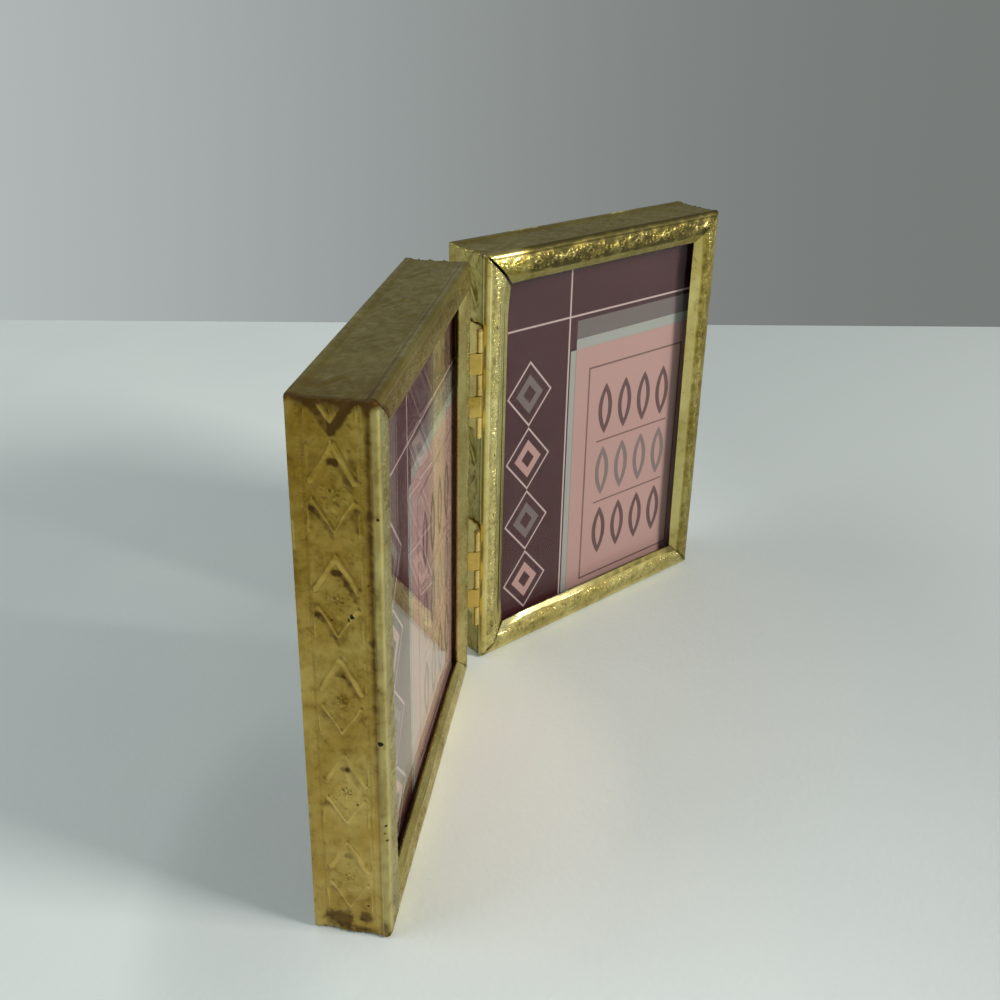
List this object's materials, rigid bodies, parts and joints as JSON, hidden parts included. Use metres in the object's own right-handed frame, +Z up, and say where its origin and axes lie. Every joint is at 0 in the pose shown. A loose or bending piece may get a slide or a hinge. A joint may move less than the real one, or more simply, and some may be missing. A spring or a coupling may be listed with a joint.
{
  "type": "hinged double photo frame",
  "caption": "Hinged double photo frame: shallow embossed metal leaves with glass, print and backing, joined along a long side by small butt hinges to open like a book.",
  "frame": {"origin": "centre of the bounding box in plan, on the surface that the frame stands on", "axes": "+Z up, +X along the open frame from the left leaf to the right leaf, -Y towards the viewer"},
  "size_m": [0.1362, 0.0364, 0.091],
  "materials": {
    "embossed_brass": "embossed, aged lacquered brass with brown tarnish",
    "hinge_brass": "plain rolled brass, lightly worn",
    "hinge_pin": "drawn wire",
    "rivet_brass": "pressed, dull",
    "clear_glass": "clear polished",
    "printed_card": "matte printed card",
    "grey_card": "raw grey board",
    "back_card": "dense board",
    "flocked_paper": "flocked, dark, matte"
  },
  "bodies": {
    "right_leaf": {"right_frame_rim": "embossed_brass", "right_glass_pane": "clear_glass", "right_photo_insert": "printed_card", "right_filler_pad": "grey_card", "right_back_board": "back_card", "right_back_facing": "flocked_paper", "upper_hinge_right_leaf": "hinge_brass", "lower_hinge_right_leaf": "hinge_brass", "upper_hinge_pin": "hinge_pin", "lower_hinge_pin": "hinge_pin", "right_hinge_rivets": "rivet_brass"},
    "left_leaf": {"left_frame_rim": "embossed_brass", "left_glass_pane": "clear_glass", "left_photo_insert": "printed_card", "left_filler_pad": "grey_card", "left_back_board": "back_card", "left_back_facing": "flocked_paper", "upper_hinge_left_leaf": "hinge_brass", "lower_hinge_left_leaf": "hinge_brass", "left_hinge_rivets": "rivet_brass"}
  },
  "joints": [
    {"name": "fold", "type": "hinge", "parent": "right_leaf", "child": "left_leaf", "pos_m": [0.00015, 0.00617, 0.0455], "axis": [0, 0, 1], "range_deg": [-52, 137]}
  ]
}
